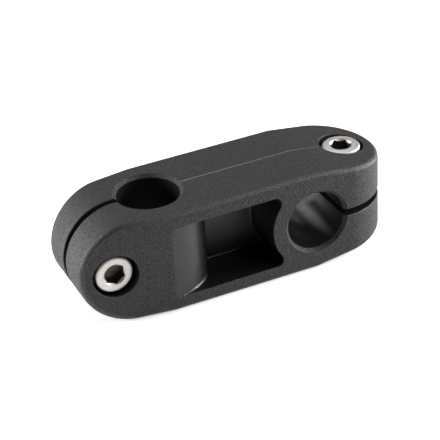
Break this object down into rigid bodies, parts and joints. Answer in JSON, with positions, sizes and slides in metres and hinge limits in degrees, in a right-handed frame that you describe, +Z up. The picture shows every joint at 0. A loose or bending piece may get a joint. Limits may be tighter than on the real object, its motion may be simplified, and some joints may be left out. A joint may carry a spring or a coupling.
{
  "type": "cross clamp block",
  "caption": "Moulded cross clamp block that holds round tubes at right angles. Each bore is slit through a tapered ear and closed by a cap screw with a captive nut.",
  "frame": {"origin": "middle of the body, halfway between the axes of the upright bore and the cross bore", "axes": "+X along the block from the upright bore to the cross bore, +Z up along the upright bore, and -Y towards the front, where the upright bore's screw head is"},
  "size_m": [0.087, 0.0274, 0.028],
  "materials": {
    "moulded_body": "black glass-filled polyamide, fine spark-eroded mould grain",
    "stainless_screw": "cold-forged stainless steel, bright",
    "stainless_nut": "cold-forged stainless steel, satin"
  },
  "bodies": {
    "body": {"clamp_body": "moulded_body"},
    "upright_screw": {"upright_screw": "stainless_screw"},
    "upright_nut": {"upright_nut": "stainless_nut"},
    "cross_screw": {"cross_screw": "stainless_screw"},
    "cross_nut": {"cross_nut": "stainless_nut"}
  },
  "joints": [
    {"name": "upright_screw_turn", "type": "hinge", "parent": "body", "child": "upright_screw", "pos_m": [-0.0345, 0, 0], "axis": [0, -1, 0], "range_deg": [0, 540]},
    {"name": "upright_nut_travel", "type": "slide", "parent": "body", "child": "upright_nut", "axis": [0, 1, 0], "range_m": [0, 0.0015]},
    {"name": "cross_screw_turn", "type": "hinge", "parent": "body", "child": "cross_screw", "pos_m": [0.0345, 0, 0], "axis": [0, 0, 1], "range_deg": [0, 540]},
    {"name": "cross_nut_travel", "type": "slide", "parent": "body", "child": "cross_nut", "axis": [0, 0, -1], "range_m": [0, 0.0015]}
  ],
  "couplings": [
    {"joint": "upright_nut_travel", "follows": "upright_screw_turn", "m_per_rad": 0.00015915},
    {"joint": "cross_nut_travel", "follows": "cross_screw_turn", "m_per_rad": 0.00015915}
  ]
}
